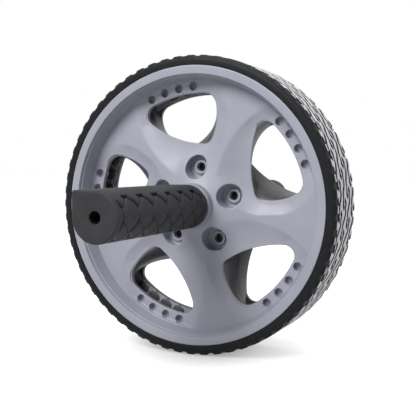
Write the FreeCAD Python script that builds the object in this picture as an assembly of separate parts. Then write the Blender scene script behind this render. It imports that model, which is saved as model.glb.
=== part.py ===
import FreeCAD, Part
import math
import os

# Ab wheel roller: one wide wheel that turns on a steel axle, with a grip at each side.
# Lengths are in millimetres and angles in degrees. The axle lies along Y, the origin is
# the middle of the wheel, +Z is up, and the front grip points along -Y.
# Each wheel half is drawn as the front one, from its face at -Y to the parting plane at
# y = 0. Turned over about a line in that plane, the same moulding is the rear half.

# Tyre
tyre_diameter = 200.0
tyre_thickness = 6.9
tyre_shoulder_width = 3.4
tyre_shoulder_drop = 1.8
tyre_notch_depth = 1.2
tyre_notch_count = 64
tyre_seat_clearance = 0.1
tyre_side_gap = 0.1

# Rim of a wheel half. Its depth counts from the parting plane to the front.
rim_depth = 24.5
lip_width = 6.0
rim_wall_taper = 3.3

# Bearing
axle_radius = 6.0
running_clearance = 0.05
bush_wall = 2.0
bush_length = 19.0
press_clearance = 0.02
washer_width = 4.8
washer_thickness = 1.0
washer_play = 0.15
washer_bore_play = 0.12

# Face of a wheel half: hub boss, a cone round it and flat spokes. Drops count down from the rim.
hub_wall = 7.4
hub_boss_rise = 0.8
face_hub_drop = 4.5
face_spoke_drop = 11.1
face_spoke_gap = 1.2

# Lug recesses and the screws in them
lug_angle = 87.17
lug_web = 2.7
lug_radius = 8.0
lug_floor_drop = 18.0
lug_hole_depth = 4.0
screw_head_radius = 2.9
screw_head_gap = 0.2
screw_head_height = 1.8
screw_radius = 1.5
screw_length = 9.0
screw_clearance = 0.05

# Openings between the spokes. Angles are clockwise from the opening's own middle line.
# A bow's radius is a share of the way between its ends, a corner's a share of the opening's depth.
opening_count = 5
opening_middle_angle = 104.08
turned_over_angle = -6.8
opening_drop = 13.8
opening_ledge_width = 7.4
opening_left_angle = -20.6
opening_right_angle = 22.6
opening_tip_gap = 8.7
opening_tip_angle = 26.6
opening_left_bow_share = 1.27
opening_right_bow_share = 1.17
opening_left_corner_share = 0.21
opening_right_corner_share = 0.275
opening_tip_corner_share = 0.21

# Sunken panel round each opening
panel_land = 0.8
panel_rim_gap = 0.3
panel_mouth_drop = 8.3
panel_left_angle = -26.0
panel_right_angle = 31.0
panel_hub_left_reach = 0.9
panel_hub_left_angle = -31.0
panel_hub_right_reach = 2.9
panel_hub_right_angle = 41.0
panel_hub_bow_share = 1.821
panel_left_bow_share = 1.238
panel_right_bow_share = 1.362

# Gallery behind the ledge: the opening runs out to the drum there
gallery_drum_wall = 8.0
gallery_left_angle = -18.5
gallery_right_angle = 20.9
gallery_inset = 4.0
gallery_mouth_share = 0.8
ledge_thickness = 3.4

# Dimples in the ledge outside each opening
dimple_count = 4
dimple_inset = 3.3
dimple_pitch_angle = 7.79
dimple_radius = 3.0
dimple_depth = 2.6

# Grips
handle_length = 278.2
core_wall = 3.6
grip_wall = 4.9
grip_corner = 1.6
grip_end_wall = 15.1
grip_end_hole_radius = 3.5

# Rounds that repeat are drawn with flat sides, and lofted arcs as short straight runs
small_round_side_count = 8
round_side_count = 16
core_side_count = 12
rim_run_count = 8
side_run_count = 5
corner_run_count = 4

# Overrun of every cut past the surface that it breaks through
overrun = 2.0

# Sizes that follow from those above
rim_radius = tyre_diameter / 2 - tyre_thickness - tyre_seat_clearance
face_radius = rim_radius - lip_width - rim_wall_taper
panel_rim_radius = face_radius - panel_rim_gap
dimple_ring_radius = panel_rim_radius - dimple_inset
opening_top_radius = panel_rim_radius - opening_ledge_width
bush_radius = axle_radius + bush_wall
washer_radius = axle_radius + washer_width
hub_boss_radius = bush_radius + hub_wall
lug_ring_radius = hub_boss_radius + lug_web + lug_radius
lug_hole_radius = screw_head_radius + screw_head_gap
panel_hub_left_radius = lug_ring_radius + panel_hub_left_reach
panel_hub_right_radius = lug_ring_radius + panel_hub_right_reach
opening_tip_radius = lug_ring_radius + lug_radius + opening_tip_gap
face_spoke_radius = opening_tip_radius + face_spoke_gap
core_radius = axle_radius + core_wall
grip_radius = core_radius + grip_wall

tyre_half_width = rim_depth - tyre_side_gap
hub_boss_depth = rim_depth + hub_boss_rise
face_hub_depth = rim_depth - face_hub_drop
face_spoke_depth = rim_depth - face_spoke_drop
panel_mouth_depth = rim_depth - panel_mouth_drop
opening_depth = rim_depth - opening_drop
lug_floor_depth = rim_depth - lug_floor_drop
screw_seat_depth = lug_floor_depth - lug_hole_depth
core_start = hub_boss_depth + washer_play + washer_thickness
core_end = handle_length / 2 - grip_end_wall
opening_corner_unit = opening_top_radius - opening_tip_radius
gallery_radius = rim_radius - gallery_drum_wall
gallery_mouth_radius = opening_top_radius - gallery_inset

origin = FreeCAD.Vector(0, 0, 0)
axis = FreeCAD.Vector(0, 1, 0)
to_front = FreeCAD.Vector(0, -1, 0)
full_turn = 360.0
right_angle = 90.0
half_turn = 180.0
spoke_pitch = full_turn / opening_count


def point(radius, depth):
    """Point of a turned profile: depth counts from the parting plane to the front."""
    return FreeCAD.Vector(radius, -depth, 0)


def arc(start, middle, end):
    return Part.Arc(start, middle, end).toShape()


def line(start, end):
    return Part.LineSegment(start, end).toShape()


def chain(points):
    """Straight edges from each point to the next."""
    return [line(a, b) for a, b in zip(points, points[1:])]


def turned(edges):
    """Solid of revolution about the axle line."""
    return Part.Face(Part.Wire(edges)).revolve(origin, axis, full_turn)


def rod(radius, depth_from, depth_to, place=origin):
    """Round bar along the axle direction, between two depths."""
    start = FreeCAD.Vector(place.x, -depth_from, place.z)
    return Part.makeCylinder(radius, depth_to - depth_from, start, to_front)


def prism(sides, radius, depth_from, depth_to, place=origin):
    """Bar with flat sides along the axle direction, between two depths."""
    corners = [place + on_face(radius, k * full_turn / sides) for k in range(sides)]
    return flat_face(at_depth(corners, depth_from)).extrude(to_front * (depth_to - depth_from))


def cut_each(shape, tools):
    """Cut tools that overlap each other, one after the other."""
    for tool in tools:
        shape = shape.cut(tool)
    return shape


def on_face(radius, angle):
    """Point in the parting plane, clockwise from the opening's middle line, which is +Z here."""
    turn = math.radians(angle)
    return FreeCAD.Vector(radius * math.sin(turn), 0, radius * math.cos(turn))


def turned_to(shape, angle):
    """Copy of a shape drawn about +Z, turned so that +Z comes to this angle from +X."""
    copy = shape.copy()
    copy.rotate(origin, to_front, angle - right_angle)
    return copy


def round_the_wheel(shape, first_angle):
    """Copies of a shape drawn about +Z, one for each opening."""
    return [turned_to(shape, first_angle - k * spoke_pitch) for k in range(opening_count)]


def bow_centre(start, end, share):
    """Centre of the arc from start to end, on the right of the way. Its radius is a share of the way."""
    half = (end - start) / 2
    reach = half.Length * math.sqrt((share + share) ** 2 - 1)
    side = half.cross(axis).normalize()
    return start + half - side * reach


def circle_meet(centre_a, radius_a, centre_b, radius_b, near):
    """The point, of the two where these circles cross, that lies nearer to a given one."""
    way = centre_b - centre_a
    span = way.Length
    along = (radius_a ** 2 - radius_b ** 2 + span ** 2) / (span + span)
    off = math.sqrt(radius_a ** 2 - along ** 2)
    way.normalize()
    side = way.cross(axis)
    foot = centre_a + way * along
    return min(foot + side * off, foot - side * off, key=lambda p: (p - near).Length)


def arc_about(centre, start, end):
    """The shorter arc about a centre, from start to end."""
    way = (start - centre) + (end - centre)
    return arc(start, centre + way.normalize() * (start - centre).Length, end)


def runs(edge, count):
    """Points along an arc, without its end, for straight runs from each to the next."""
    return edge.discretize(Number=count + 1)[:count]


def at_depth(points, depth):
    return [p + to_front * depth for p in points]


def flat_face(points):
    return Part.Face(Part.makePolygon(points + points[:1]))


def faceted_loft(sections):
    """Solid through rings of points, with flat three-sided facets between each ring and the next."""
    faces = [flat_face(sections[0]), flat_face(sections[-1])]
    for ring, next_ring in zip(sections, sections[1:]):
        for k, corner in enumerate(ring):
            faces.append(flat_face([ring[k - 1], corner, next_ring[k]]))
            faces.append(flat_face([ring[k - 1], next_ring[k], next_ring[k - 1]]))
    return Part.makeSolid(Part.makeShell(faces))


class Outline:
    """A rounded triangle with bowed sides: one side lies on a circle about the axle."""

    def __init__(self, left, right, tip, left_share, right_share):
        self.left, self.right, self.tip = left, right, tip
        right_centre = bow_centre(right, tip, right_share)
        left_centre = bow_centre(tip, left, left_share)
        self.circles = [
            (origin, opening_top_radius),
            (right_centre, (right - right_centre).Length),
            (left_centre, (left - left_centre).Length),
        ]
        self.corners = [
            (right, opening_corner_unit * opening_right_corner_share),
            (tip, opening_corner_unit * opening_tip_corner_share),
            (left, opening_corner_unit * opening_left_corner_share),
        ]

    def rounded(self):
        """Points of the outline, with its corners rounded."""
        centres = []
        for k, (vertex, radius) in enumerate(self.corners):
            (centre_a, bow_a) = self.circles[k]
            (centre_b, bow_b) = self.circles[(k + 1) % len(self.circles)]
            centres.append(circle_meet(centre_a, bow_a - radius, centre_b, bow_b - radius, vertex))
        points = []
        for k, (centre, bow) in enumerate(self.circles):
            start = centre + (centres[k - 1] - centre).normalize() * bow
            end = centre + (centres[k] - centre).normalize() * bow
            next_centre, next_bow = self.circles[(k + 1) % len(self.circles)]
            corner_end = next_centre + (centres[k] - next_centre).normalize() * next_bow
            points += runs(arc_about(centre, start, end), side_run_count)
            points += runs(arc_about(centres[k], end, corner_end), corner_run_count)
        return points


def face_opening():
    """Outline of an opening at the face of the half."""
    return Outline(
        on_face(opening_top_radius, opening_left_angle),
        on_face(opening_top_radius, opening_right_angle),
        on_face(opening_tip_radius, opening_tip_angle),
        opening_left_bow_share,
        opening_right_bow_share,
    )


def parting_opening():
    """Outline at the parting plane: midway between the opening and its turned-over image."""
    middle = -turned_over_angle / 2
    spread = (opening_right_angle - opening_left_angle) / 2
    lean = math.radians(opening_tip_angle - middle)
    share = (opening_left_bow_share + opening_right_bow_share) / 2
    return Outline(
        on_face(opening_top_radius, middle - spread),
        on_face(opening_top_radius, middle + spread),
        on_face(opening_tip_radius * math.cos(lean), middle),
        share,
        share,
    )


def opening_tool():
    """The hole of one opening, from in front of its edge to past the parting plane."""
    face = face_opening().rounded()
    parting = parting_opening().rounded()
    sections = [
        at_depth(face, opening_depth + overrun),
        at_depth(face, opening_depth),
        at_depth(parting, 0),
        at_depth(parting, -overrun),
    ]
    return faceted_loft(sections)


def panel_floor():
    """Points round the flat floor of a sunken panel: the opening, run out to the rim."""
    outline = face_opening()
    right_centre, right_bow = outline.circles[1]
    left_centre, left_bow = outline.circles[2]
    corner = opening_corner_unit * opening_tip_corner_share
    tip = circle_meet(right_centre, right_bow - corner, left_centre, left_bow - corner, outline.tip)
    rim_left = circle_meet(left_centre, left_bow + panel_land, origin, panel_rim_radius, outline.left)
    rim_right = circle_meet(right_centre, right_bow + panel_land, origin, panel_rim_radius, outline.right)
    tip_right = tip + (tip - right_centre).normalize() * (corner + panel_land)
    tip_left = tip + (tip - left_centre).normalize() * (corner + panel_land)
    return (
        runs(arc_about(origin, rim_left, rim_right), rim_run_count)
        + runs(arc_about(right_centre, rim_right, tip_right), side_run_count)
        + runs(arc_about(tip, tip_right, tip_left), corner_run_count)
        + runs(arc_about(left_centre, tip_left, rim_left), side_run_count)
    )


def panel_mouth():
    """Points round the mouth of a sunken panel, above the face."""
    rim_left = on_face(panel_rim_radius, panel_left_angle)
    rim_right = on_face(panel_rim_radius, panel_right_angle)
    hub_right = on_face(panel_hub_right_radius, panel_hub_right_angle)
    hub_left = on_face(panel_hub_left_radius, panel_hub_left_angle)
    right_centre = bow_centre(rim_right, hub_right, panel_right_bow_share)
    hub_centre = bow_centre(hub_right, hub_left, panel_hub_bow_share)
    left_centre = bow_centre(hub_left, rim_left, panel_left_bow_share)
    return (
        runs(arc_about(origin, rim_left, rim_right), rim_run_count)
        + runs(arc_about(right_centre, rim_right, hub_right), side_run_count)
        + runs(arc_about(hub_centre, hub_right, hub_left), corner_run_count)
        + runs(arc_about(left_centre, hub_left, rim_left), side_run_count)
    )


def panel_tool():
    """Space of one sunken panel, from its floor to in front of the rim."""
    mouth = panel_mouth()
    sections = [
        at_depth(panel_floor(), opening_depth),
        at_depth(mouth, panel_mouth_depth),
        at_depth(mouth, rim_depth + overrun),
    ]
    return faceted_loft(sections)


def gallery_tool():
    """Space behind the ledge of one opening, from the opening out to the drum."""
    drum_left = on_face(gallery_radius, gallery_left_angle)
    drum_right = on_face(gallery_radius, gallery_right_angle)
    outline = runs(arc_about(origin, drum_left, drum_right), rim_run_count) + [
        drum_right,
        on_face(gallery_mouth_radius, gallery_right_angle * gallery_mouth_share),
        on_face(gallery_mouth_radius, gallery_left_angle * gallery_mouth_share),
    ]
    depth = opening_depth - ledge_thickness
    return flat_face(at_depth(outline, -overrun)).extrude(to_front * (depth + overrun))


def half_block():
    """The half without its hollows: hub boss, dished face, rim wall and drum."""
    return turned(chain([
        point(0, 0),
        point(0, hub_boss_depth),
        point(hub_boss_radius, hub_boss_depth),
        point(hub_boss_radius, face_hub_depth),
        point(face_spoke_radius, face_spoke_depth),
        point(face_radius, face_spoke_depth),
        point(rim_radius - lip_width, rim_depth),
        point(rim_radius, rim_depth),
        point(rim_radius, 0),
        point(0, 0),
    ]))


def dimples():
    """Hollows in the ledge, along the rim side of each opening."""
    first = -dimple_pitch_angle * (dimple_count - 1) / 2
    tools = []
    for k in range(dimple_count):
        place = on_face(dimple_ring_radius, first + k * dimple_pitch_angle)
        floor = opening_depth - dimple_depth
        hollow = prism(small_round_side_count, dimple_radius, floor, opening_depth + overrun, place)
        tools += round_the_wheel(hollow, opening_middle_angle)
    return tools


def lug_bar(radius, depth_from, depth_to):
    """Slim bar in the middle of the lug above the axle."""
    return prism(small_round_side_count, radius, depth_from, depth_to, on_face(lug_ring_radius, 0))


def lug_recess():
    """Recess of one lug, with the hole in its floor."""
    recess = prism(round_side_count, lug_radius, lug_floor_depth, rim_depth, on_face(lug_ring_radius, 0))
    return recess.fuse(lug_bar(lug_hole_radius, screw_seat_depth, lug_floor_depth + overrun))


def wheel_half(own_lug_angle):
    """One moulded half of the wheel, drawn as the front one."""
    half = cut_each(half_block(), round_the_wheel(panel_tool(), opening_middle_angle))
    half = cut_each(half, round_the_wheel(opening_tool(), opening_middle_angle))
    half = cut_each(half, round_the_wheel(gallery_tool(), opening_middle_angle))
    hub_bore = prism(round_side_count, bush_radius + press_clearance, -overrun, hub_boss_depth + overrun)
    return half.cut(dimples() + round_the_wheel(lug_recess(), own_lug_angle) + [hub_bore])


def screw_holes(depth_from, depth_to):
    """Holes for the shanks of the five screws."""
    return round_the_wheel(lug_bar(screw_radius + screw_clearance, depth_from, depth_to), lug_angle)


def wheel_screw():
    """Screw in the lug above the axle, with its head on the floor of the lug's hole."""
    head = lug_bar(screw_head_radius, screw_seat_depth, screw_seat_depth + screw_head_height)
    return head.fuse(lug_bar(screw_radius, screw_seat_depth - screw_length, screw_seat_depth))


def tyre_ring(depth, radius, notch):
    """Points round the tyre, with a notch between each two crests."""
    count = tyre_notch_count + tyre_notch_count
    ring = [on_face(radius - notch * (k % 2), k * full_turn / count) for k in range(count)]
    return at_depth(ring, depth)


def tyre():
    """Rubber band on the drum of the two halves, with notches round its bevelled shoulders."""
    top = tyre_diameter / 2
    edge = top - tyre_shoulder_drop
    crown = tyre_half_width - tyre_shoulder_width
    band = faceted_loft([
        tyre_ring(-tyre_half_width, edge, tyre_notch_depth),
        tyre_ring(-crown, top, 0),
        tyre_ring(crown, top, 0),
        tyre_ring(tyre_half_width, edge, tyre_notch_depth),
    ])
    seat = rim_radius + tyre_seat_clearance
    return band.cut(rod(seat, -tyre_half_width - overrun, tyre_half_width + overrun))


def bush():
    """Plain bearing in the hub of the front half, flush with its boss. Its flats keep it from turning."""
    sleeve = prism(round_side_count, bush_radius, hub_boss_depth - bush_length, hub_boss_depth)
    return sleeve.cut(rod(axle_radius + running_clearance, -overrun, hub_boss_depth + overrun))


def washer():
    """Thrust washer outside the front bush, against the front grip."""
    ring = prism(round_side_count, washer_radius, core_start - washer_thickness, core_start)
    return ring.cut(prism(round_side_count, axle_radius + washer_bore_play, 0, handle_length))


def axle():
    """Steel rod through the hub and both grips."""
    return rod(axle_radius, -core_end, core_end)


def grip_core():
    """Stiff sleeve pressed on the axle, as far as its end. Its flats keep the rubber from turning."""
    sleeve = prism(core_side_count, core_radius, core_start, core_end)
    return sleeve.cut(rod(axle_radius + press_clearance, 0, handle_length))


def grip():
    """Rubber grip: round, with its upper left quarter filled out to a squared corner."""
    end = handle_length / 2
    flat = grip_radius - grip_corner
    across = math.sqrt(2)

    def at(x, z):
        return FreeCAD.Vector(x, -end, z)

    corner = at(-flat - grip_corner / across, flat + grip_corner / across)
    low = grip_radius / across
    edges = [
        arc(at(0, grip_radius), at(low, -low), at(-grip_radius, 0)),
        line(at(-grip_radius, 0), at(-grip_radius, flat)),
        arc(at(-grip_radius, flat), corner, at(-flat, grip_radius)),
        line(at(-flat, grip_radius), at(0, grip_radius)),
    ]
    body = Part.Face(Part.Wire(edges)).extrude(FreeCAD.Vector(0, end - core_start, 0))
    socket = prism(core_side_count, core_radius + press_clearance, 0, core_end)
    return body.cut([socket, rod(grip_end_hole_radius, 0, handle_length)])


def turned_over(shape, angle):
    """Copy of a shape, turned half a turn about a line in the parting plane."""
    turn = math.radians(angle)
    copy = shape.copy()
    copy.rotate(origin, FreeCAD.Vector(math.cos(turn), 0, math.sin(turn)), half_turn)
    return copy


turned_over_line = opening_middle_angle + turned_over_angle / 2
rear_lug_angle = turned_over_line + turned_over_line - lug_angle
grip_corner_line = right_angle + right_angle / 2

front_half = wheel_half(lug_angle).cut(screw_holes(-overrun, lug_floor_depth))
rear_half = turned_over(wheel_half(rear_lug_angle), turned_over_line)
rear_half = rear_half.cut(screw_holes(-screw_seat_depth - overrun, overrun))

nodes = {
    "tyre": tyre(),
    "front_wheel_half": front_half,
    "rear_wheel_half": rear_half,
    "wheel_screws": Part.makeCompound(round_the_wheel(wheel_screw(), lug_angle)),
    "axle": axle(),
}
for name, make, line_angle in [
    ("bush", bush, turned_over_line),
    ("thrust_washer", washer, grip_corner_line),
    ("grip_core", grip_core, grip_corner_line),
    ("grip", grip, grip_corner_line),
]:
    front = make()
    nodes["front_" + name] = front
    nodes["rear_" + name] = turned_over(front, line_angle)

os.makedirs("parts", exist_ok=True)
for name, shape in nodes.items():
    shape.exportStep("parts/" + name + ".step")
    print(name, len(shape.Solids), shape.isValid(), round(shape.Volume))
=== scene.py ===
import math

import bmesh
import bpy
from mathutils import Matrix, Vector


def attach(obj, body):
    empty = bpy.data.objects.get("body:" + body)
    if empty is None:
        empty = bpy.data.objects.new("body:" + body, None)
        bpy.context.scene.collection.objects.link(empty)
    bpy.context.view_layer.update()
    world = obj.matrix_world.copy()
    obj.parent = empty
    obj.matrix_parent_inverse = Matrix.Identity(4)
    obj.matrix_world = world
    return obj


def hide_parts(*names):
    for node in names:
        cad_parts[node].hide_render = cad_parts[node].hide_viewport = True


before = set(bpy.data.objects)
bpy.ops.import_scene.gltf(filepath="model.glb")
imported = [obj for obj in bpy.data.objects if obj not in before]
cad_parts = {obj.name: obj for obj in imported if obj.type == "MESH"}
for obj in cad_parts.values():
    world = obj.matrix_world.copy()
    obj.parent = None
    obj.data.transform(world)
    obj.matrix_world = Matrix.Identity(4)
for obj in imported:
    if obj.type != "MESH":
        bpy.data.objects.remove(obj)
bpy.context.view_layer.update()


# Wheel halves: two like mouldings in grey plastic with a satin face, drawn together by five screws.
# Each has a lip, a tapered rim wall, five swept openings in sunken panels and five lug recesses.
# The rear one is the front one turned over, with its lugs in line with the front ones.
mm, weld = 0.001, 0.004
openings = 5
opening_pitch = math.tau / openings
opening_middle = math.radians(104.08)
turned_over_line = math.radians(100.68)

# The face. Heights count from the parting plane, and angles clockwise from an opening's middle line.
hub_radius, spoke_start, rim_foot = 15.4, 36.5, 83.7
hub_height, hub_flare, crest_height = 20.0, 20.0, 12.5
foot_width, foot_rise = 1.5, 1.9
spoke_left, spoke_right = -32.5, 39.5
edge_round, round_steps = 0.5, 4
rim_steps, side_steps, tip_steps, web_steps = 80, 48, 36, 16

# Openings, each with a ledge along the rim and a gallery behind it.
opening_top, opening_tip, tip_angle = 76.0, 42.8, 26.6
left_angle, right_angle, parting_lean = -20.6, 22.6, 3.4
left_bow, right_bow = 1.27, 1.17
left_round, right_round, tip_round = 7.0, 9.1, 7.0
ledge, ledge_back, ledge_half_angle, ledge_ends = 10.7, 7.4, 15.0, (60.0, 80.0)
gallery_radius, gallery_start, gallery_middle = 85.0, 58.0, Vector((6.0, 0, 60.0))
gallery_search, gallery_halvings = (1.0, 2.0), 24
back_brace, edge_brace, face_brace = 0.6, 0.3, 0.25
face_rings, face_crowding = 36, 1.2

# Panels round the openings, and the ridges that they rise to.
panel_land, panel_round, panel_sag = 0.8, 7.3, 1.4
ridge_rim_left, ridge_hub_left = (83.4, -20.0), (20.5, -8.5)
ridge_rim_right, ridge_waist, ridge_hub_right = (83.2, 23.7), (44.2, 39.0), (19.1, 47.1)
ridge_bows = 0.858, 12.0, 0.951
ridge_round, ridge_rise = 0.35, 0.5

# Lug recesses. The collar round each hole is given by reach past the hole and rise over the floor.
front_lug_angle, rear_lug_angle = 16.91, -10.11
lug_ring, lug_radius, lug_floor, lug_hole, screw_seat = 26.1, 8.0, 6.5, 3.1, 2.5
lug_collar = [(0, 1.2), (0.08, 1.5), (0.3, 1.6), (1.4, 1.6), (1.7, 1.5), (1.8, 1.2), (1.9, 0.2),
              (2.1, 0), (3.9, 0), (4.4, 0.12), (4.7, 0.45), (4.76, 1.0)]
lug_brace, lug_rings = 0.4, 12

# Dimples through the ledge, and the cups that close them, by radius and height.
dimple_count, dimple_ring, dimple_pitch, dimple_radius = 4, 80.4, 7.79, 2.95
dimple_flare, dimple_taper, dimple_sides = 0.1, 0.3, 32
dimple_cut_drop, dimple_cut_depth = 1.3, 5.7
cup_profile = [(2.5, 6.4), (2.68, 7.55), (4.1, 7.55), (4.1, 5.7), (3.85, 5.2), (3.3, 4.95)]

# Rim wall with its lip and drum, and hub boss with its bore, by radius and height.
rim_profile = [
    (83.74, 12.75), (83.9, 12.85), (84.4, 12.95), (84.45, 13.4), (84.05, 13.6), (86.3, 21.9),
    (86.8, 22.05), (86.85, 22.5), (87.3, 24.2), (87.4, 24.38), (87.6, 24.48), (87.8, 24.5), (91.9, 24.5),
    (92.5, 24.5), (92.8, 24.4), (92.95, 24.2), (93.0, 23.9), (93.0, 23.0), (93.0, 0)]
hub_profile = [
    (15.35, 20.25), (15.2, 21.0), (15.1, 24.6), (15.0, 25.0), (14.8, 25.22), (14.4, 25.3),
    (13.8, 25.3), (9.0, 25.3), (8.4, 25.22), (8.1, 25.0), (8.02, 24.5), (8.02, 0)]


def on_face(radius, angle):
    """Place in the parting plane, clockwise from an opening's middle line, which is up here."""
    turn = math.radians(angle)
    return Vector((radius * math.sin(turn), 0, radius * math.cos(turn)))


def lifted(place, height):
    return Vector((place.x, -height, place.z))


def bow(start, end, share):
    """A side that bows out between two corners: its centre, and its radius as a share of the way."""
    half_way = (end - start) / 2
    reach = half_way.length * math.sqrt((2 * share) ** 2 - 1)
    square = Vector((half_way.z, 0, -half_way.x)).normalized()
    return start + half_way + square * reach, 2 * half_way.length * share


def round_between(first, second, radius, corner):
    """Centre of the round that joins two bowed sides at their corner."""
    (a, reach_a), (b, reach_b) = first, second
    way = b - a
    run = ((reach_a - radius) ** 2 - (reach_b - radius) ** 2 + way.length_squared) / (2 * way.length)
    side = Vector((way.z, 0, -way.x)).normalized() * math.sqrt((reach_a - radius) ** 2 - run ** 2)
    foot = a + way.normalized() * run
    return min(foot + side, foot - side, key=lambda place: (place - corner).length)


def heading(way):
    return math.degrees(math.atan2(way.x, way.z))


class Opening:
    """Rounded triangle with bowed sides.

    Each arc is its centre, its radius, and its start and end clockwise from the top.
    """

    def __init__(self, left, right, tip, left_share, right_share):
        self.sides = [(Vector(), opening_top), bow(right, tip, right_share), bow(tip, left, left_share)]
        corners = [(right, right_round), (tip, tip_round), (left, left_round)]
        rounds = [(round_between(self.sides[k], self.sides[k - 2], radius, corner), radius)
                  for k, (corner, radius) in enumerate(corners)]
        arcs = []
        end = heading(rounds[2][0])
        for k in range(3):
            for arc, way in [(self.sides[k], rounds[k][0] - self.sides[k][0]),
                             (rounds[k], rounds[k][0] - self.sides[k - 2][0])]:
                start, end = end, heading(way)
                while end < start:
                    end += 360
                arcs.append((*arc, start, end))
        rim, right_corner, right_side, tip_corner, left_side, left_corner = arcs
        self.runs = [([self.part(left_corner, 0.5, 1), rim, self.part(right_corner, 0, 0.5)], rim_steps),
                     ([self.part(right_corner, 0.5, 1), right_side], side_steps),
                     ([tip_corner], tip_steps),
                     ([left_side, self.part(left_corner, 0, 0.5)], side_steps)]

    def part(self, arc, first, last):
        centre, radius, start, end = arc
        return centre, radius, start + (end - start) * first, start + (end - start) * last

    def places(self):
        """Even places along each run of arcs, each with the direction out of the opening."""
        found = []
        for arcs, count in self.runs:
            lengths = [(end - start) * radius for _, radius, start, end in arcs]
            for k in range(count):
                run = sum(lengths) * k / count
                for (centre, radius, start, end), length in zip(arcs, lengths):
                    if run <= length:
                        break
                    run -= length
                out = on_face(1, start + (end - start) * run / length)
                found.append((centre + out * radius, out))
        return found


half_angle, parting_bow = (right_angle - left_angle) / 2, (left_bow + right_bow) / 2
parting_tip = opening_tip * math.cos(math.radians(tip_angle - parting_lean))
face_opening = Opening(
    on_face(opening_top, left_angle), on_face(opening_top, right_angle),
    on_face(opening_tip, tip_angle), left_bow, right_bow)
parting_opening = Opening(
    on_face(opening_top, parting_lean - half_angle), on_face(opening_top, parting_lean + half_angle),
    on_face(parting_tip, parting_lean), parting_bow, parting_bow)
ridge_ends = [(ridge_rim_right, ridge_waist), (ridge_waist, ridge_hub_right),
              (ridge_hub_left, ridge_rim_left)]
ridges = [bow(on_face(*a), on_face(*b), share) for (a, b), share in zip(ridge_ends, ridge_bows)]


def past(place, side):
    """How far a place lies outside a bowed side."""
    return (place - side[0]).length - side[1]


def gallery_place(place, sides):
    """Place behind the ledge: run out from the middle of the opening to the rim or a spoke's wall."""
    if place.length < gallery_start:
        return place
    near, far = gallery_search
    for _ in range(gallery_halvings):
        share = (near + far) / 2
        there = gallery_middle + (place - gallery_middle) * share
        inside = max([past(there, side) for side in sides] + [there.length - gallery_radius]) < 0
        near, far = (share, far) if inside else (near, share)
    return gallery_middle + (place - gallery_middle) * near


def soft_lower(a, b, blend):
    """The lower of two heights, with the ridge between them rounded."""
    h = max(blend - abs(a - b), 0) / blend
    return min(a, b) - h * h * blend / 4


def smooth_step(value, low, high):
    share = min(max((value - low) / (high - low), 0), 1)
    return share * share * (3 - 2 * share)


def panel_height(place, crest):
    """Height of a sunken panel: flat round its opening, then rising to its ridges and to the hub."""
    right, left = [past(place, side) - panel_land + panel_round for side in face_opening.sides[1:]]
    floor = math.hypot(max(left, 0), max(right, 0)) + min(max(left, right), 0) - panel_round
    beyond = math.radians(abs(heading(place)) - ledge_half_angle) * place.length
    floor = max(floor, beyond * smooth_step(place.length, *ledge_ends))
    outside = max(past(place, side) for side in ridges)
    if floor <= 0:
        return ledge
    if outside >= 0:
        return crest + outside * ridge_rise
    share = floor / (floor - outside)
    share += (1 - share) * (1 - smooth_step(place.length, hub_radius, spoke_start))
    return ledge + (crest - ledge) * share ** panel_sag


def face_height(place):
    """Height of the half's face: spokes that rise to the hub, sunken panels and the rim's foot."""
    crest = crest_height + (hub_height - crest_height) * math.exp((hub_radius - place.length) / hub_flare)
    height = crest
    for k in (-1, 0, 1):
        turned = Matrix.Rotation(k * opening_pitch, 3, "Y") @ place
        if turned.z > 0:
            height = soft_lower(height, panel_height(turned, crest), ridge_round)
    foot = max(place.length - rim_foot + foot_width, 0) / foot_width
    return max(height, ledge + foot_rise * foot * foot)


def first_ring(bm, places):
    """A closed ring of edges through these places."""
    ring = bmesh.ops.create_circle(bm, segments=len(places), radius=1)["verts"]
    for vert, place in zip(ring, places):
        vert.co = place
    return ring


def ring_edges(bm, ring):
    return [bm.edges.get((a, b)) for a, b in zip(ring, ring[1:] + ring[:1])]


def next_ring(bm, ring, places):
    """Extrudes a ring and moves the new one to these places."""
    grown = set(bmesh.ops.extrude_edge_only(bm, edges=ring_edges(bm, ring))["geom"])
    ring = [next(e.other_vert(v) for e in v.link_edges if e.other_vert(v) in grown) for v in ring]
    for vert, place in zip(ring, places):
        vert.co = place
    return ring


def close_ring(bm, ring):
    """Fills a ring with one face."""
    bmesh.ops.contextual_create(bm, geom=ring_edges(bm, ring))


def closed_rings(bm, rings):
    """A closed shape through these rings, with a face at each end."""
    ring = first_ring(bm, rings[0])
    close_ring(bm, ring)
    for places in rings[1:]:
        ring = next_ring(bm, ring, places)
    close_ring(bm, ring)


def edge_rounding():
    """Steps round an edge: how far out each lies, and how far down."""
    for k in range(round_steps + 1):
        turn = math.radians(90 * k / round_steps)
        yield edge_round * (1 - math.cos(turn)), edge_round * (1 - math.sin(turn))


def border_places(first, last, outer, inner, outer_steps, reach_steps, inner_steps):
    """Places round a sector of the face, clockwise from its outer left corner."""
    sweep, reach = last - first, outer - inner
    places = [on_face(outer, first + sweep * k / outer_steps) for k in range(outer_steps)]
    places += [on_face(outer - reach * k / reach_steps, last) for k in range(reach_steps)]
    places += [on_face(inner, last - sweep * k / inner_steps) for k in range(inner_steps)]
    places += [on_face(inner + reach * k / reach_steps, first) for k in range(reach_steps)]
    return places


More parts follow.
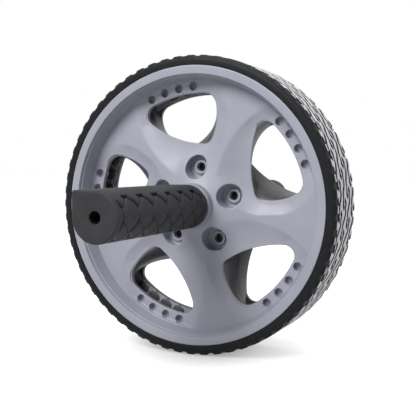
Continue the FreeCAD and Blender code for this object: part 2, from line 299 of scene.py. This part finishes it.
def opening_zone(bm):
    """One spoke opening from the parting plane to its edge, and the face from there to its neighbours."""
    face, back = face_opening.places(), parting_opening.places()
    fronts, backs = [p for p, _ in face], [p for p, _ in back]
    front_gallery = [gallery_place(p, face_opening.sides[1:]) for p in fronts]
    back_gallery = [gallery_place(p, parting_opening.sides[1:]) for p in backs]
    border = border_places(spoke_left, spoke_right, rim_foot, spoke_start, rim_steps, side_steps, tip_steps)

    def wall(height, fronts, backs):
        share = 1 - height / ledge
        return [lifted(f.lerp(b, share), height) for f, b in zip(fronts, backs)]

    ring = first_ring(bm, wall(0, front_gallery, back_gallery))
    ring = next_ring(bm, ring, wall(ledge_back - back_brace, front_gallery, back_gallery))
    ring = next_ring(bm, ring, wall(ledge_back, front_gallery, back_gallery))
    ring = next_ring(bm, ring, wall(ledge_back, fronts, backs))
    ring = next_ring(bm, ring, wall(ledge - edge_round - edge_brace, fronts, backs))
    for out, drop in edge_rounding():
        ring = next_ring(bm, ring, [lifted(p + way * out, ledge - drop) for p, way in face])
    edge = [p + way * (edge_round + face_brace) for p, way in face]
    ring = next_ring(bm, ring, [lifted(p, ledge) for p in edge])
    for k in range(1, face_rings + 1):
        share = (k / face_rings) ** face_crowding
        places = [p.lerp(q, share) for p, q in zip(edge, border)]
        ring = next_ring(bm, ring, [lifted(p, face_height(p)) for p in places])


def lug_zone(bm, lug_angle):
    """One lug recess with the hole in its floor, and the face round it from the hub to the spokes."""
    sweep = spoke_right - spoke_left
    pace = sweep / tip_steps
    first = spoke_left + pace * round((lug_angle - sweep / 2 - spoke_left) / pace)
    border = border_places(first, first + sweep, spoke_start, hub_radius, tip_steps, web_steps, tip_steps)
    middle = on_face(lug_ring, lug_angle)
    ways = [(p - middle).normalized() for p in border]

    def circle(radius, height):
        return [lifted(middle + way * radius, height) for way in ways]

    ring = first_ring(bm, circle(lug_hole, screw_seat))
    close_ring(bm, ring)
    for out, rise in lug_collar:
        ring = next_ring(bm, ring, circle(lug_hole + out, lug_floor + rise))
    edge = [middle + way * (lug_radius + edge_round) for way in ways]
    tops = [face_height(p) for p in edge]

    def mouth(out, drop):
        return [lifted(middle + way * (lug_radius + out), top - drop) for way, top in zip(ways, tops)]

    ring = next_ring(bm, ring, mouth(0, edge_round + lug_brace))
    for out, drop in edge_rounding():
        ring = next_ring(bm, ring, mouth(out, drop))
    for k in range(1, lug_rings + 1):
        places = [p.lerp(q, k / lug_rings) for p, q in zip(edge, border)]
        ring = next_ring(bm, ring, [lifted(p, face_height(p)) for p in places])


def round_copies(bm, count):
    """Repeats a sector of the wheel all round the axle and joins the copies."""
    bmesh.ops.spin(bm, geom=bm.verts[:] + bm.edges[:] + bm.faces[:], cent=(0, 0, 0), axis=(0, 1, 0),
                   dvec=(0, 0, 0), angle=math.tau * (1 - 1 / count), steps=count - 1, use_duplicate=True)


def open_edges_at(bm, radius):
    """Open edges of the face that lie on a circle about the axle."""
    def on_circle(vert):
        return abs(math.hypot(vert.co.x, vert.co.z) - radius) < 2 * weld
    return [e for e in bm.edges if e.is_boundary and all(on_circle(v) for v in e.verts)]


def turned_profile(bm, edges, profile):
    """Carries a round edge on along a profile of radius and height."""
    for radius, height in profile:
        grown = bmesh.ops.extrude_edge_only(bm, edges=edges)["geom"]
        for vert in [g for g in grown if isinstance(g, bmesh.types.BMVert)]:
            away = Vector((vert.co.x, 0, vert.co.z)).normalized()
            vert.co = lifted(away * radius, height)
        edges = [g for g in grown if isinstance(g, bmesh.types.BMEdge)]


def dimple_places(height):
    """Where the dimples stand, in the ledge of each opening, at this height."""
    for k in range(openings):
        for j in range(dimple_count):
            angle = dimple_pitch * (j - (dimple_count - 1) / 2) + math.degrees(opening_pitch) * k
            yield lifted(on_face(dimple_ring, angle), height)


def mesh_of(bm, name):
    """Ends a bmesh as a mesh of this name."""
    mesh = bpy.data.meshes.new(name)
    bm.to_mesh(mesh)
    bm.free()
    return mesh


def dimple_cutter():
    """Round hollows through the ledge, a little narrower at the back."""
    bm = bmesh.new()
    for place in dimple_places(ledge - dimple_cut_drop):
        bmesh.ops.create_cone(bm, cap_ends=True, segments=dimple_sides, radius1=dimple_radius + dimple_flare,
                              radius2=dimple_radius - dimple_taper, depth=dimple_cut_depth,
                              matrix=Matrix.Translation(place) @ Matrix.Rotation(-math.pi / 2, 4, "X"))
    return mesh_of(bm, "dimples")


def dimple_cups(bm):
    """Cups behind the ledge that close the dimples, with rounded backs."""
    for place in dimple_places(0):
        around = [on_face(1, 360 * k / dimple_sides) for k in range(dimple_sides)]
        closed_rings(bm, [[lifted(place + way * radius, height) for way in around]
                          for radius, height in cup_profile])


def set_smooth(mesh, degrees):
    """Shades a mesh round, apart from edges sharper than this."""
    for face in mesh.polygons:
        face.use_smooth = True
    mesh.set_sharp_from_angle(angle=math.radians(degrees))


def shown(name, mesh):
    obj = bpy.data.objects.new(name, mesh)
    bpy.context.scene.collection.objects.link(obj)
    return obj


def wheel_half(name, lug_angle, place):
    """One moulding: a fifth of its face, spun, then its rim and hub, its dimples and their cups."""
    bm = bmesh.new()
    opening_zone(bm)
    lug_zone(bm, lug_angle)
    round_copies(bm, openings)
    bmesh.ops.remove_doubles(bm, verts=bm.verts[:], dist=weld)
    turned_profile(bm, open_edges_at(bm, rim_foot), rim_profile)
    turned_profile(bm, open_edges_at(bm, hub_radius), hub_profile)
    bmesh.ops.triangle_fill(bm, edges=[e for e in bm.edges if e.is_boundary], use_beauty=True)
    bmesh.ops.recalc_face_normals(bm, faces=bm.faces[:])
    block = shown(name + "_block", mesh_of(bm, name + "_blank"))
    cutter = shown(name + "_cutter", dimple_cutter())
    cut = block.modifiers.new("dimples", "BOOLEAN")
    cut.operation, cut.solver, cut.object = "DIFFERENCE", "MANIFOLD", cutter
    mesh = bpy.data.meshes.new_from_object(block.evaluated_get(bpy.context.evaluated_depsgraph_get()))
    for tool in (block, cutter):
        bpy.data.objects.remove(tool)
    bm = bmesh.new()
    bm.from_mesh(mesh)
    dimple_cups(bm)
    bmesh.ops.recalc_face_normals(bm, faces=bm.faces[:])
    bm.to_mesh(mesh)
    bm.free()
    upright = Matrix.Rotation(opening_middle - math.pi / 2, 4, (0, -1, 0))
    mesh.transform(place @ upright @ Matrix.Scale(mm, 4))
    set_smooth(mesh, degrees=32)
    mesh.name = name
    mesh.materials.clear()
    return shown(name, mesh)


def finish_of(name, colour, roughness, settings=()):
    """A material with its shader, ready for the nodes that vary it."""
    material = bpy.data.materials.new(name)
    material.use_nodes = True
    shader = material.node_tree.nodes["Principled BSDF"]
    for socket, value in [("Base Color", (*colour, 1)), ("Roughness", roughness), *settings]:
        shader.inputs[socket].default_value = value
    return material


def add(owner, kind, links=(), **values):
    """A node with these settings; each link is (its socket, the socket that feeds it)."""
    node = owner.node_tree.nodes.new(kind)
    for key, value in values.items():
        setattr(node, key, value)
    for socket, source in links:
        owner.node_tree.links.new(source, node.inputs[socket])
    return node


def feed(material, socket, source):
    material.node_tree.links.new(source, material.node_tree.nodes["Principled BSDF"].inputs[socket])


def worked(owner, operation, *sources):
    """One sum on these sources."""
    return add(owner, "ShaderNodeMath", enumerate(sources), operation=operation).outputs[0]


def mapped(owner, source, low, high, to_low=0, to_high=1):
    """Goes from one number to another as the source goes from low to high."""
    node = add(owner, "ShaderNodeMapRange", [("Value", source)])
    for socket, value in [("From Min", low), ("From Max", high), ("To Min", to_low), ("To Max", to_high)]:
        node.inputs[socket].default_value = value
    return node.outputs["Result"]


def own_place(material):
    return add(material, "ShaderNodeTexCoord").outputs["Object"]


def distance(material, axes):
    """Distance from the middle on the piece's own coordinates, along the axes that are 1."""
    flat = add(material, "ShaderNodeVectorMath", [(0, own_place(material))], operation="MULTIPLY")
    flat.inputs[1].default_value = axes
    return add(material, "ShaderNodeVectorMath", [(0, flat.outputs[0])], operation="LENGTH").outputs["Value"]


def grain(material, scale, detail):
    """Noise of this scale to the metre, on the piece's own coordinates."""
    node = add(material, "ShaderNodeTexNoise", [("Vector", own_place(material))])
    node.inputs["Scale"].default_value = scale
    node.inputs["Detail"].default_value = detail
    return node.outputs["Fac"]


def mottled(material, dark, light, scale, detail=3):
    """A colour that wanders between two others."""
    node = add(material, "ShaderNodeValToRGB", [("Fac", grain(material, scale, detail))])
    for element, position, colour in zip(node.color_ramp.elements, (0.3, 0.7), (dark, light)):
        element.position, element.color = position, (*colour, 1)
    return node.outputs["Color"]


def blended(material, share, first, second):
    """From the first colour to the second as the share goes from 0 to 1."""
    node = add(material, "ShaderNodeMix", data_type="RGBA")
    for socket, source in ((0, share), (6, first), (7, second)):
        material.node_tree.links.new(source, node.inputs[socket])
    return node.outputs[2]


def uneven_gloss(material, low, high, scale, detail):
    """Lets the roughness wander between two values."""
    feed(material, "Roughness", mapped(material, grain(material, scale, detail), 0, 1, low, high))


def fine_skin(material, depth, strength, scale, detail):
    """The fine skin of a moulded surface, this deep."""
    node = add(material, "ShaderNodeBump", [("Height", grain(material, scale, detail))])
    node.inputs["Distance"].default_value, node.inputs["Strength"].default_value = depth, strength
    feed(material, "Normal", node.outputs["Normal"])


# Painted shade: the walls inside the openings are coloured darker than the face, from just under the edge of
# each opening.
across_axle, along_axle = (1, 0, 1), (0, 1, 0)
dark_edge, dark_gallery, dark_fade = ledge - 0.4, 6.1, 0.8
dark_turn = opening_top + 0.2, opening_top + 0.5
dark_spoke = spoke_start + 0.5, spoke_start + 2.5
satin_grey = finish_of("satin_grey_moulding", (0.30, 0.305, 0.36), 0.45)
radius = distance(satin_grey, across_axle)
dark_top = mapped(satin_grey, radius, *[size * mm for size in (*dark_turn, dark_edge, dark_gallery)])
under = worked(satin_grey, "SUBTRACT", dark_top, distance(satin_grey, along_axle))
inside = worked(satin_grey, "MULTIPLY", mapped(satin_grey, under, 0, dark_fade * mm),
                mapped(satin_grey, radius, *[size * mm for size in dark_spoke]))
outer_grey = mottled(satin_grey, (0.295, 0.30, 0.36), (0.325, 0.33, 0.39), scale=45)
# Painted shade: this dark grey stands in for the shade inside the openings.
painted_shade_grey = mottled(satin_grey, (0.050, 0.048, 0.053), (0.068, 0.065, 0.072), scale=70)
feed(satin_grey, "Base Color", blended(satin_grey, inside, outer_grey, painted_shade_grey))
uneven_gloss(satin_grey, 0.38, 0.52, scale=160, detail=4)
fine_skin(satin_grey, 0.03 * mm, 0.5, scale=2600, detail=2)

turned_over = Matrix.Rotation(math.pi, 4, (math.cos(turned_over_line), 0, math.sin(turned_over_line)))
for name, lug_angle, place in [("front_wheel_half", front_lug_angle, Matrix.Identity(4)),
                               ("rear_wheel_half", rear_lug_angle, turned_over)]:
    half = wheel_half(name + "_moulding", lug_angle, place)
    half.data.materials.append(satin_grey)
    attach(half, "wheel")
    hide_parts(name)


# Tyre: a band of black rubber, moulded in one piece and stretched over the drum of the two halves.
# S-shaped strokes and commas are grooved in its crown, and notches run round its shoulders. The
# raised faces of the tread are coloured pale grey, a painted reflection of the bright studio.
tread_radius, tread_units = 100.0, 16
tread_length = math.tau * tread_radius / tread_units
tread_columns, tread_row, tread_side_rows = 56, 0.52, 43
groove_depth, groove_sides, groove_near = 0.95, (1.2, 1.75), 2.5
notch_pitch = tread_length / 4
notch_depth, notch_sides, notch_start = 1.05, (1.2, 2.8), (18.8, 20.2)
shoulder_start, shoulder_fall = 20.8, 0.15
tyre_side = [(93.1, 24.0), (93.5, 24.38), (95.0, 24.4), (96.4, 24.36), (97.3, 24.2), (97.9, 23.95),
             (98.25, 23.6), (98.35, 23.25), (98.2, 22.95), (98.1, 22.7)]

# Strokes and commas, by run along the tread and place across it, and how they repeat.
stroke = [(0, -2.4), (2.2, -2.2), (4.4, -0.8), (6.2, 0.8), (8.4, 2.2), (10.6, 2.4)]
commas = [[(12.6, -1.7), (14.2, -3.2), (16.8, -2.6)], [(13.2, 2.2), (15.4, 3.2), (17.2, 1.8)]]
stroke_columns, column_pitch, column_shift, strokes_in_unit = 4, 10.4, 0.37, 2
tread_grooves = []
for column in range(stroke_columns):
    middle = column_pitch * (column - (stroke_columns - 1) / 2)
    for turn in range(strokes_in_unit):
        start = tread_length / strokes_in_unit * (turn + column * column_shift % 1)
        for mark in [stroke] + commas:
            tread_grooves.append([(start + s, middle + w) for s, w in mark])


def groove_distance(s, w):
    """How far a place on the tread is from the middle of the nearest groove, if one is near."""
    here = Vector((s, w))
    nearest = math.inf
    for groove in tread_grooves:
        for shift in (-2 * tread_length, -tread_length, 0, tread_length):
            if groove[0][0] + shift - groove_near < s < groove[-1][0] + shift + groove_near:
                for a, b in zip(groove, groove[1:]):
                    start, way = Vector((a[0] + shift, a[1])), Vector((b[0] - a[0], b[1] - a[1]))
                    share = min(max((here - start).dot(way) / way.length_squared, 0), 1)
                    nearest = min(nearest, (here - start - way * share).length)
    return nearest


def tread_drop(s, w):
    """How far the tread lies under its crown: grooves all over, and round shoulders with notches."""
    groove = groove_depth * (1 - smooth_step(groove_distance(s, w), *groove_sides))
    part = abs(s / notch_pitch % 1 - 0.5) * notch_pitch
    notch = notch_depth * smooth_step(abs(w), *notch_start) * (1 - smooth_step(part, *notch_sides))
    return max(groove, notch) + shoulder_fall * max(abs(w) - shoulder_start, 0) ** 2


def tyre_section(column):
    """Places round the tyre's section at one column of a tread unit."""
    s = tread_length * column / tread_columns
    rows = [tread_row * k for k in range(-tread_side_rows, tread_side_rows + 1)]
    section = [(radius, -depth) for radius, depth in tyre_side]
    section += [(tread_radius - tread_drop(s, w), w) for w in rows]
    section += reversed(tyre_side)
    turn = math.tau / tread_units * column / tread_columns
    return [Vector((radius * math.cos(turn), y, radius * math.sin(turn))) * mm for radius, y in section]


bm = bmesh.new()
ring = first_ring(bm, tyre_section(0))
for column in range(1, tread_columns + 1):
    ring = next_ring(bm, ring, tyre_section(column))
round_copies(bm, tread_units)
bmesh.ops.remove_doubles(bm, verts=bm.verts[:], dist=weld * mm)
bmesh.ops.recalc_face_normals(bm, faces=bm.faces[:])
mesh = mesh_of(bm, "treaded_tyre")
set_smooth(mesh, degrees=40)
tyre = shown("treaded_tyre", mesh)

# Painted reflection: faces of the tread above this radius are coloured pale grey for the bright studio they
# mirror.
reflection_start, reflection_full = 99.80, 99.93
tread_rubber = finish_of("black_tread_rubber", (0.018, 0.019, 0.021), 0.45, [("Specular IOR Level", 0.14)])
raised = mapped(tread_rubber, distance(tread_rubber, across_axle), reflection_start * mm, reflection_full * mm)
painted_reflection = mottled(tread_rubber, (0.60, 0.60, 0.63), (0.70, 0.70, 0.73), scale=400)
black = mottled(tread_rubber, (0.004, 0.0045, 0.005), (0.008, 0.0085, 0.010), scale=300)
feed(tread_rubber, "Base Color", blended(tread_rubber, raised, black, painted_reflection))
uneven_gloss(tread_rubber, 0.40, 0.55, scale=220, detail=4)
fine_skin(tread_rubber, 0.04 * mm, 0.5, scale=1800, detail=3)
tyre.data.materials.append(tread_rubber)
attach(tyre, "wheel")
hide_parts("tyre")


# Wheel screws: five black steel screws, one deep in each front lug, driven into the rear half.
# Each has a low round head with a hexagon socket.
screw_angle, screw_sides = math.radians(87.17), 24
screw_profile = [(1.5, -6.5), (1.5, screw_seat), (2.75, screw_seat), (2.9, 2.7), (2.9, 3.9), (2.7, 4.2),
                 (2.3, 4.3)]
socket_profile = [(1.45, 4.3), (1.4, 3.1)]


def screw_ring(place, size, height, flats=None):
    """A ring about a screw's own line, round or with flats this far from the line."""
    ring = []
    for j in range(screw_sides):
        turn = math.tau * j / screw_sides
        reach = size / math.cos(turn % (math.tau / flats) - math.pi / flats) if flats else size
        ring.append(lifted(place + Vector((reach * math.cos(turn), 0, reach * math.sin(turn))), height))
    return ring


bm = bmesh.new()
for k in range(openings):
    angle = screw_angle - opening_pitch * k
    place = Vector((lug_ring * math.cos(angle), 0, lug_ring * math.sin(angle)))
    rings = [screw_ring(place, radius, height) for radius, height in screw_profile]
    rings += [screw_ring(place, size, height, flats=6) for size, height in socket_profile]
    closed_rings(bm, rings)
bmesh.ops.recalc_face_normals(bm, faces=bm.faces[:])
bmesh.ops.scale(bm, vec=(mm, mm, mm), verts=bm.verts[:])
mesh = mesh_of(bm, "socket_screws")
set_smooth(mesh, degrees=35)
screws = shown("socket_screws", mesh)

black_steel = finish_of("black_screw_steel", (0.02, 0.02, 0.021), 0.4, [("Metallic", 0.8)])
uneven_gloss(black_steel, 0.3, 0.5, scale=900, detail=3)
screws.data.materials.append(black_steel)
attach(screws, "wheel")
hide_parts("wheel_screws")


# Bushes and thrust washers: plain bearings turned from natural plastic. The bushes are pressed into
# the hub, and the washers run between them and the grips. Their CAD shapes need only a finish.
def finish_cad_pieces(names, material):
    for name in names:
        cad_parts[name].data.materials.clear()
        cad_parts[name].data.materials.append(material)


natural_plastic = finish_of("natural_bearing_plastic", (0.70, 0.69, 0.65), 0.5)
bearing_cream = mottled(natural_plastic, (0.66, 0.65, 0.61), (0.74, 0.73, 0.69), scale=260)
feed(natural_plastic, "Base Color", bearing_cream)
uneven_gloss(natural_plastic, 0.42, 0.6, scale=700, detail=3)
finish_cad_pieces(["front_bush", "rear_bush", "front_thrust_washer", "rear_thrust_washer"], natural_plastic)


# Axle: a bright drawn steel rod through the hub and both grips. It turns in the bushes, and the grip
# cores are pressed on its ends.
drawn_steel = finish_of("bright_drawn_steel", (0.55, 0.55, 0.57), 0.3, [("Metallic", 1.0)])
uneven_gloss(drawn_steel, 0.22, 0.4, scale=1200, detail=4)
finish_cad_pieces(["axle"], drawn_steel)


# Grip cores: stiff black plastic sleeves, moulded with flats outside and pressed on the axle. They
# carry the rubber grips and keep them from turning.
core_black = finish_of("black_core_plastic", (0.03, 0.03, 0.031), 0.55)
uneven_gloss(core_black, 0.45, 0.65, scale=600, detail=3)
finish_cad_pieces(["front_grip_core", "rear_grip_core"], core_black)


# Grips: soft dark rubber sleeves moulded over the cores. The upper left quarter is filled out to a
# squared corner, and crossing wave grooves leave lens-shaped pads on the round side.
grip_radius, grip_end, grip_steps = 14.5, 139.1, 180
corner_angle, corner_round, corner_blend = 270, 1.6, 0.9
end_hole, socket_radius, socket_end = 3.5, 9.62, -124.0

# Rings of the grip's two ends: the place along the axle, then a reach of their own, or else how far
# they lie inside the plain surface.
outer_rings = [(-138.6, end_hole, 0), (-139.0, 3.65, 0), (-grip_end, 4.0, 0), (-grip_end, None, 2.4),
               (-grip_end, None, 1.2), (-138.95, None, 0.6), (-138.6, None, 0.2), (-138.1, None, 0.03),
               (-137.4, None, 0), (-136.6, None, 0)]
inner_rings = [(-28.6, None, 0), (-27.6, None, 0), (-26.9, None, 0.15), (-26.55, None, 0.5),
               (-26.45, None, 1.0), (-26.45, 9.9, 0), (-26.6, socket_radius, 0),
               (socket_end, socket_radius, 0), (socket_end, end_hole, 0)]

# Pads and grooves. Rows are angles clockwise from the top, and pairs say where a slope starts and ends.
pad_rows, pad_row_fade = (41.0, 127.0, 213.0), 4.0
pad_pitch, pad_first, pad_crown, pad_slope = 17.0, -124.0, 0.5, (0.0, 3.5)
pads_outer, pads_inner = (-136.0, -135.0), (-30.5, -29.5)
padded_start, padded_pace, padded_rings = -136.4, 0.6, 179
groove_floor, groove_width = 1.9, 3.8
groove_pad_side, groove_far_side, groove_mouth = (-0.4, 0.6), (groove_width - 1.2, groove_width), (0.0, 0.8)
thin_groove_share, thin_groove_side = 0.55, (0.25, 0.95)
slot_depth, slot_angle, slot_length = 2.8, (3.2, 4.8), (3.4, 4.0)


def grip_reach(angle):
    """Distance from the axis to the plain surface, clockwise from the top."""
    if angle <= corner_angle:
        return grip_radius
    turn = math.radians(min(360 - angle, angle - corner_angle))
    square = grip_radius / math.cos(turn)
    corner = grip_radius * math.sqrt(2) - corner_round * (math.sqrt(2) - 1)
    return soft_lower(square, corner, corner_blend)


def pad_drop(angle, y):
    """How far a place lies under the plain surface: the wave grooves, and the slots at their ends."""
    first, middle, last = pad_rows
    drop = 0.0
    fade = smooth_step(y, *pads_outer) * (1 - smooth_step(y, *pads_inner))
    apart = (y - pad_first + pad_pitch / 2) % pad_pitch - pad_pitch / 2
    if first <= angle <= last:
        reach = pad_pitch / 2 * abs(math.sin(math.pi * (angle - first) / (middle - first)))
        past_pad = (apart if apart > 0 else apart + pad_pitch) - reach
        to_next = (-apart if apart < 0 else pad_pitch - apart) - reach
        ends = smooth_step(angle, first, first + pad_row_fade)
        ends *= 1 - smooth_step(angle, last - pad_row_fade, last)
        wide = smooth_step(past_pad, *groove_pad_side) * (1 - smooth_step(past_pad, *groove_far_side))
        wide *= smooth_step(to_next, *groove_mouth)
        thin = thin_groove_share * (1 - smooth_step(abs(to_next), *thin_groove_side))
        edge = 1 - smooth_step(reach - abs(apart), *pad_slope) if abs(apart) < reach else 0
        drop = max(groove_floor * max(wide, thin), pad_crown * edge) * fade * ends
    beside = min(abs(angle - first), abs(angle - last))
    slot = (1 - smooth_step(beside, *slot_angle)) * (1 - smooth_step(abs(apart), *slot_length))
    return max(drop, slot_depth * slot * fade)


def grip_ring(y, reach=None, inset=0.0, pads=False):
    """Places round a grip at one place along the axle."""
    places = []
    for k in range(grip_steps):
        angle = 360 * k / grip_steps
        plain = grip_reach(angle) - inset if reach is None else reach
        places.append(lifted(on_face(plain - (pad_drop(angle, y) if pads else 0), angle), -y))
    return places


def grip_mesh():
    """The front grip: out along its end hole, back over its surface, and out again along its socket."""
    bm = bmesh.new()
    ring = first_ring(bm, grip_ring(socket_end, end_hole))
    for y, reach, inset in outer_rings:
        ring = next_ring(bm, ring, grip_ring(y, reach, inset))
    for k in range(padded_rings):
        ring = next_ring(bm, ring, grip_ring(padded_start + padded_pace * k, pads=True))
    for y, reach, inset in inner_rings:
        ring = next_ring(bm, ring, grip_ring(y, reach, inset))
    bmesh.ops.remove_doubles(bm, verts=bm.verts[:], dist=weld)
    bmesh.ops.recalc_face_normals(bm, faces=bm.faces[:])
    bmesh.ops.scale(bm, vec=(mm, mm, mm), verts=bm.verts[:])
    return mesh_of(bm, "padded_grip")


# Painted shade: grooves and slots below a set radius are coloured far darker than the pads, for the shade in
# them; the end faces keep the pads' grey.
pad_low, pad_full = grip_radius - 1.4, grip_radius - 0.55
end_low, end_full = grip_end - 1.5, grip_end - 1.0
soft_rubber = finish_of("soft_grip_rubber", (0.05, 0.051, 0.055), 0.55, [("Specular IOR Level", 0.22)])
proud = worked(soft_rubber, "MAXIMUM",
               mapped(soft_rubber, distance(soft_rubber, across_axle), pad_low * mm, pad_full * mm),
               mapped(soft_rubber, distance(soft_rubber, along_axle), end_low * mm, end_full * mm))
painted_groove_shade = mottled(soft_rubber, (0.004, 0.004, 0.0045), (0.007, 0.007, 0.0075), scale=180)
pad_grey = mottled(soft_rubber, (0.021, 0.0215, 0.0235), (0.028, 0.0285, 0.031), scale=180)
feed(soft_rubber, "Base Color", blended(soft_rubber, proud, painted_groove_shade, pad_grey))
uneven_gloss(soft_rubber, 0.50, 0.66, scale=300, detail=4)
fine_skin(soft_rubber, 0.05 * mm, 0.6, scale=2400, detail=2)

corner_line = math.radians(135)
end_for_end = Matrix.Rotation(math.pi, 4, (math.cos(corner_line), 0, math.sin(corner_line)))
for name, place in [("front_grip", Matrix.Identity(4)), ("rear_grip", end_for_end)]:
    mesh = grip_mesh()
    mesh.transform(place)
    set_smooth(mesh, degrees=40)
    grip = shown(name + "_sleeve", mesh)
    grip.data.materials.append(soft_rubber)
    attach(grip, "handle_bar")
    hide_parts(name)


# Studio: a pale floor under the wheel and white all round, as for a catalogue picture. Soft lamps
# stand in front on the left, on the right, and above and behind.
floor_size, floor_axes, painted_shadow_radii, floor_glow = 6.0, (1, 1, 0), (0.015, 0.08), (0.28, 0.86)
white_seen, white_lit = 1.0, 0.10
lamps = [("key_lamp", (-0.25, -1.1, 0.95), 0.8, 24), ("right_lamp", (1.6, 0.2, 0.8), 1.0, 10.5),
         ("top_lamp", (0.2, 0.5, 1.8), 1.2, 9)]


def seen_by_eye(owner):
    """1 where the camera, a reflection or a clear piece looks on, and 0 where light is gathered."""
    rays = add(owner, "ShaderNodeLightPath").outputs
    mirrored = worked(owner, "MAXIMUM", rays["Is Camera Ray"], rays["Is Glossy Ray"])
    return worked(owner, "MAXIMUM", mirrored, rays["Is Transmission Ray"])


bm = bmesh.new()
bmesh.ops.create_grid(bm, x_segments=1, y_segments=1, size=floor_size,
                      matrix=Matrix.Translation((0, 0, -tread_radius * mm)))
floor = shown("studio_floor", mesh_of(bm, "studio_floor"))
white_floor = finish_of("white_floor", (0.45, 0.45, 0.45), 0.9)
# Painted shadow: the floor's glow for the camera is weaker within a few centimetres of the wheel, a painted
# shadow round where it stands.
bright = mapped(white_floor, distance(white_floor, floor_axes), *painted_shadow_radii, *floor_glow)
white = worked(white_floor, "MULTIPLY", bright, seen_by_eye(white_floor))
glow = add(white_floor, "ShaderNodeEmission", [("Strength", white)])
nodes = white_floor.node_tree.nodes
paint = nodes["Principled BSDF"]
lit = add(white_floor, "ShaderNodeAddShader", [(0, paint.outputs[0]), (1, glow.outputs[0])])
white_floor.node_tree.links.new(lit.outputs[0], nodes["Material Output"].inputs["Surface"])
floor.data.materials.append(white_floor)

world = bpy.data.worlds.new("white_studio")
bpy.context.scene.world = world
world.use_nodes = True
background = world.node_tree.nodes["Background"].inputs
background["Color"].default_value = (1, 1, 1, 1)
white = mapped(world, seen_by_eye(world), 0, 1, white_lit, white_seen)
world.node_tree.links.new(white, background["Strength"])

for name, place, size, power in lamps:
    light = bpy.data.lights.new(name, "AREA")
    light.shape, light.size, light.energy = "DISK", size, power
    lamp = shown(name, light)
    lamp.location = place
    lamp.rotation_euler = (-Vector(place)).to_track_quat("-Z", "Y").to_euler()


# Camera: it stands where the picture was taken, to the right of the front grip and a little above
# the axle. Its place and lens were worked out from the shape of the rim.
camera_place, camera_way = (0.21762, -0.47708, 0.02878), Vector((-0.40980, 0.91025, -0.05929))
photo_lens = bpy.data.cameras.new("photo_camera")
photo_lens.sensor_fit, photo_lens.sensor_width, photo_lens.lens = "HORIZONTAL", 36.0, 65.66
camera = shown("photo_camera", photo_lens)
camera.location = camera_place
camera.rotation_euler = camera_way.to_track_quat("-Z", "Y").to_euler()
bpy.context.scene.camera = camera
bpy.context.scene.view_settings.view_transform = "Standard"
